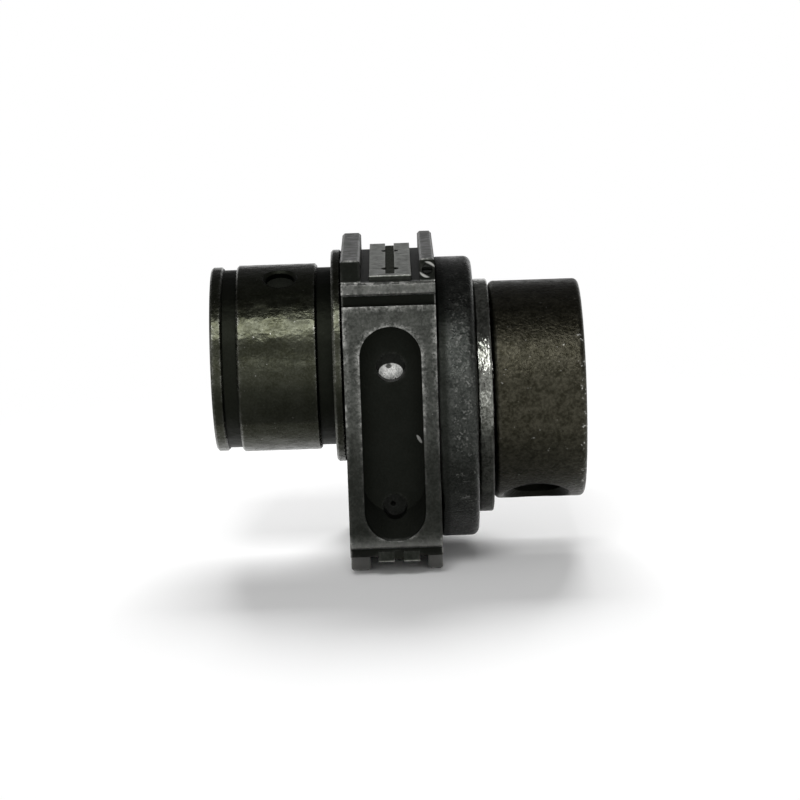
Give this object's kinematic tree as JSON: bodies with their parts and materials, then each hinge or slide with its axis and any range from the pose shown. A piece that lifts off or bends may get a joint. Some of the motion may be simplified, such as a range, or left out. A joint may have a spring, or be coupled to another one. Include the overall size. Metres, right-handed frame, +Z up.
{
  "type": "sewing machine feed cam",
  "caption": "Adjustable feed eccentric: a journal on a slide whose throw a scroll disc sets, with a collar and set screws that grip the shaft.",
  "frame": {"origin": "on the shaft line, inside the sleeve's bore at the adjusting disc", "axes": "+X along the shaft towards the collar, +Z up towards the journal's throw, front at -Y"},
  "size_m": [0.047, 0.0362, 0.0406],
  "materials": {
    "block_steel": "black oxide, worn pale at the edges",
    "cover_steel": "worn black oxide, satin",
    "inner_steel": "dark oiled steel",
    "screw_steel": "bright worn steel",
    "ring_steel": "dark satin steel",
    "collar_steel": "mottled brown black oxide",
    "disc_steel": "black oxide, satin",
    "journal_steel": "polished brown black oxide",
    "felt": "oil-soaked felt"
  },
  "bodies": {
    "guide": {"guide_block": "block_steel", "top_cover": "cover_steel", "bottom_cover": "cover_steel", "top_felt": "felt", "bottom_felt": "felt", "front_gib": "inner_steel", "rear_gib": "inner_steel", "front_gib_screws": "screw_steel", "rear_gib_screws": "screw_steel", "oil_plug_screws": "screw_steel", "friction_ring": "ring_steel", "cone_spring": "ring_steel", "collar": "collar_steel", "collar_set_screws": "screw_steel"},
    "disc": {"adjusting_disc": "disc_steel"},
    "eccentric": {"journal": "journal_steel", "slide": "inner_steel", "follower_pin": "screw_steel", "journal_screws": "screw_steel", "locating_dowel": "screw_steel", "journal_felt": "felt"}
  },
  "joints": [
    {"name": "disc_turn", "type": "hinge", "parent": "guide", "child": "disc", "pos_m": [0, 0, 0], "axis": [1, 0, 0], "range_deg": [0, 300]},
    {"name": "throw_slide", "type": "slide", "parent": "guide", "child": "eccentric", "axis": [0, 0, 1], "range_m": [-0.0058, 0]}
  ],
  "couplings": [
    {"joint": "disc_turn", "follows": "throw_slide", "rad_per_m": -902.75}
  ]
}
